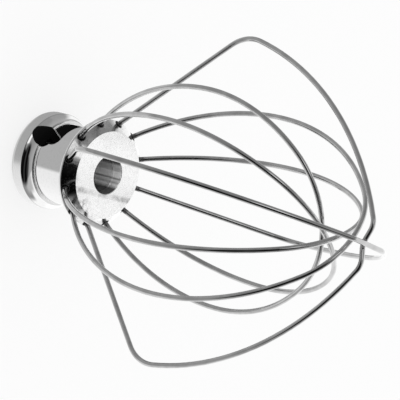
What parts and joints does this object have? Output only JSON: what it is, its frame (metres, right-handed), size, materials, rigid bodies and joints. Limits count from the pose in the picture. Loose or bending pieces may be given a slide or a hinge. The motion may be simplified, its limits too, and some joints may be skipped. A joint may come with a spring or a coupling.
{
  "type": "stand mixer wire whisk",
  "caption": "Wire whisk for a stand mixer: a bored, turned metal hub with a pin bayonet, carrying nested rounded wire loops inside crossed cornered loops.",
  "frame": {"origin": "centre of the hub's end face, where the mixer's shaft goes in", "axes": "+Z along the shaft's axis from the end face towards the tips of the wires, X in the plane of the inner cornered wire"},
  "size_m": [0.111, 0.1114, 0.1432],
  "materials": {
    "hub_metal": "polished",
    "wire_steel": "polished"
  },
  "bodies": {
    "root": {"hub": "hub_metal", "corner_wire_inner": "wire_steel", "corner_wire_outer": "wire_steel", "balloon_wire_1": "wire_steel", "balloon_wire_2": "wire_steel", "balloon_wire_3": "wire_steel", "balloon_wire_4": "wire_steel"}
  },
  "joints": []
}
